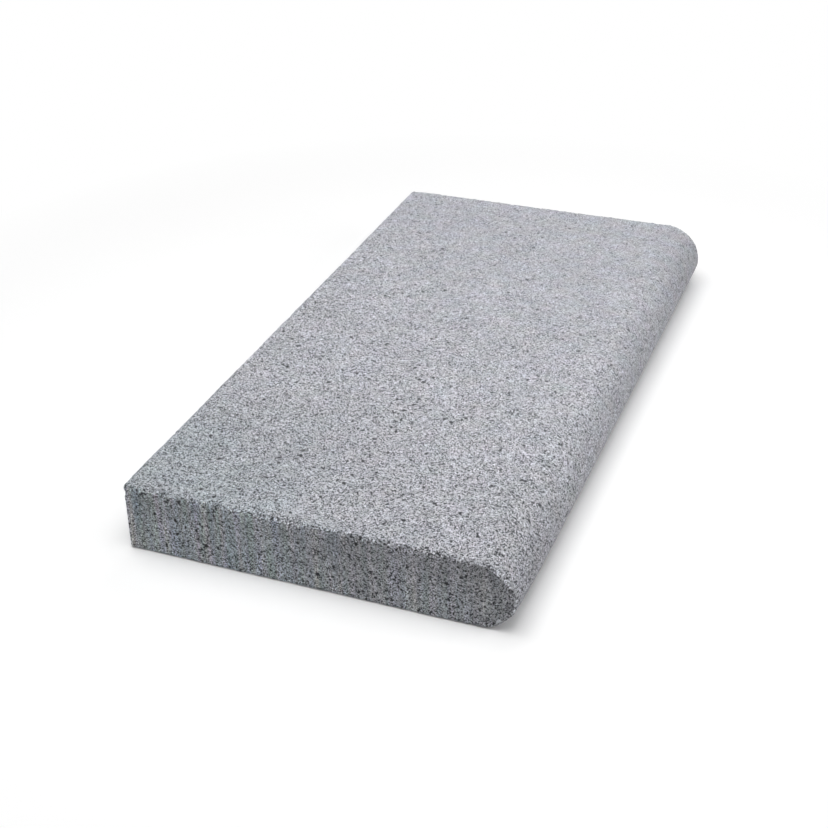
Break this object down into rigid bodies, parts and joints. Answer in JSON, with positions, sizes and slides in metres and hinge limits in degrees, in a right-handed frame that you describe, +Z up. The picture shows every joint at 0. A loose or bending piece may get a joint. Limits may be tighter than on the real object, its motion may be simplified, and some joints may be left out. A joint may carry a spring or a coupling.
{
  "type": "granite pool coping stone",
  "caption": "Straight granite slab for edging a pool, with a rounded bullnose along one long side, a square back and square butt ends.",
  "frame": {"origin": "middle of the bed face's bounding rectangle, on the surface that the stone lies on", "axes": "+Z up from the bed face to the walking face, +X across the stone towards the rounded nose, +Y along the length"},
  "size_m": [0.31, 0.6, 0.057],
  "materials": {
    "granite": "flamed light grey granite, fine grained with small dark specks, matte"
  },
  "bodies": {
    "root": {"coping_stone": "granite"}
  },
  "joints": []
}
